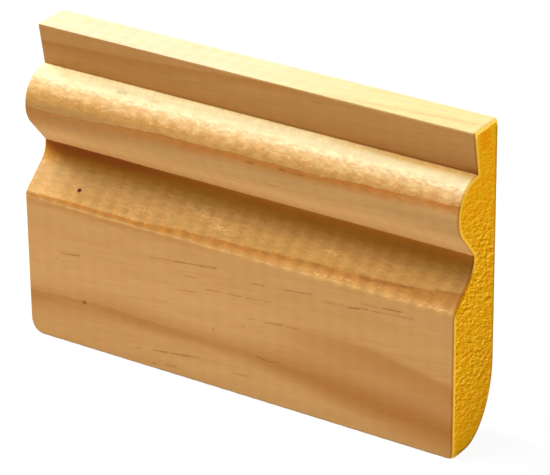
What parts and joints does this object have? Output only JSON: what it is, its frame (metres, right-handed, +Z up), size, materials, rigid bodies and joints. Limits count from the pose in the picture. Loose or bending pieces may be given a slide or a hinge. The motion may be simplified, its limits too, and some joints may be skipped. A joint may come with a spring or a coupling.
{
  "type": "skirting board",
  "caption": "Short length of moulded softwood skirting board: a plain fascia over a rounded bead, then a cove and ogee above a flat face, with a rounded lower back edge.",
  "frame": {"origin": "middle of the flat of the wall face, which is the back of the board", "axes": "+X along the board, to the right as seen from the moulded side; +Y out of the back, into the wall; +Z up, from the foot to the top edge"},
  "size_m": [0.142, 0.0215, 0.094],
  "materials": {
    "pine": "satin"
  },
  "bodies": {
    "root": {"board": "pine"}
  },
  "joints": []
}
